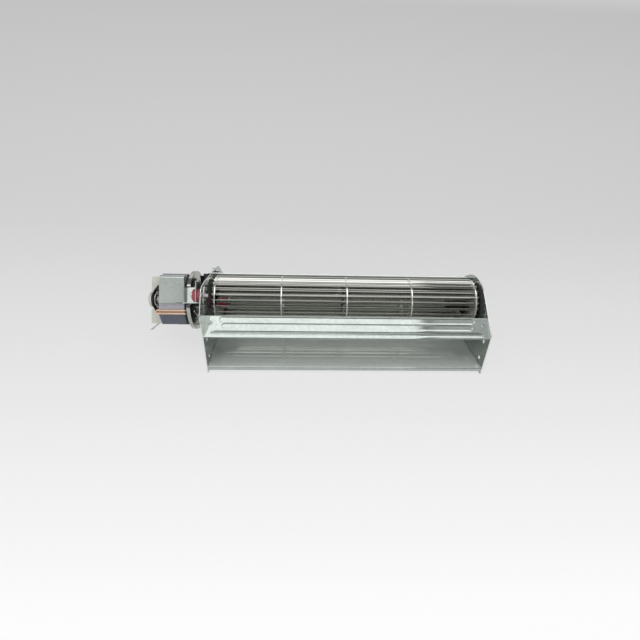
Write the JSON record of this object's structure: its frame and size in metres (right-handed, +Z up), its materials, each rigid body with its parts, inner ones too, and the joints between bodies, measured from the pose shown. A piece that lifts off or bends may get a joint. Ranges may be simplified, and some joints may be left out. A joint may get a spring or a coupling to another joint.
{
  "type": "cross flow fan",
  "caption": "Cross flow fan: a long bladed wheel in a galvanised sheet scroll housing with a front outlet duct, driven directly by a shaded pole motor on rubber mounts.",
  "frame": {"origin": "middle of the front face of the outlet duct's turned down lip", "axes": "+X along the wheel's axis away from the motor, -Y out of the outlet, +Z up"},
  "size_m": [0.4026, 0.1268, 0.1043],
  "materials": {
    "galvanised": "zinc coated sheet, semi-gloss with a faint spangle",
    "zinc_steel": "bright zinc plate",
    "lamination_steel": "stacked electrical steel, lacquered edges",
    "black_steel": "satin black coating",
    "copper": "bare and enamelled copper wire",
    "sintered_bronze": "oil soaked sintered bronze",
    "nylon": "natural moulded nylon",
    "insulating_tape": "pale polyester tape",
    "black_plastic": "moulded, glass filled",
    "red_rubber": "moulded silicone rubber",
    "black_rubber": "moulded rubber",
    "ground_steel": "ground shaft steel",
    "aluminium": "mill finish strip"
  },
  "bodies": {
    "housing": {"bearing_bracket_left": "black_steel", "bearing_bracket_right": "black_steel", "bearing_bush_right": "sintered_bronze", "bearing_cap": "nylon", "bearing_mount_rubber": "black_rubber", "bracket_rivets": "zinc_steel", "bush_retainer_left": "zinc_steel", "bush_retainer_right": "zinc_steel", "coil_bobbin": "nylon", "coil_core": "lamination_steel", "coil_tape": "insulating_tape", "coil_winding": "copper", "earth_screw": "zinc_steel", "front_plate": "galvanised", "front_plate_rivets": "zinc_steel", "grommets": "red_rubber", "heat_shield": "galvanised", "motor_bracket_front": "galvanised", "motor_bracket_rear": "galvanised", "motor_bush_left": "sintered_bronze", "motor_bush_right": "sintered_bronze", "motor_nuts": "zinc_steel", "motor_screws": "zinc_steel", "mount_screws": "zinc_steel", "mount_sleeves": "zinc_steel", "scroll_wall": "galvanised", "shading_rings": "copper", "shield_rivets": "zinc_steel", "side_plate_left": "galvanised", "side_plate_right": "galvanised", "stator_stack": "lamination_steel", "terminal_tabs": "zinc_steel"},
    "rotor": {"balance_clips": "aluminium", "blades": "aluminium", "cooling_fan": "black_plastic", "coupling_insert": "ground_steel", "end_disc_left": "aluminium", "end_disc_right": "aluminium", "end_hub": "black_plastic", "fan_clip": "zinc_steel", "inner_disc_1": "aluminium", "inner_disc_2": "aluminium", "inner_disc_3": "aluminium", "motor_shaft": "ground_steel", "rotor_core": "lamination_steel", "rotor_end_rings": "aluminium", "rotor_spacer": "nylon", "rubber_coupling": "red_rubber", "stub_shaft": "ground_steel", "thrust_washers": "black_plastic"}
  },
  "joints": [
    {"name": "wheel_spin", "type": "hinge", "parent": "housing", "child": "rotor", "pos_m": [0, 0.065, 0.05225], "axis": [1, 0, 0], "continuous": true}
  ]
}
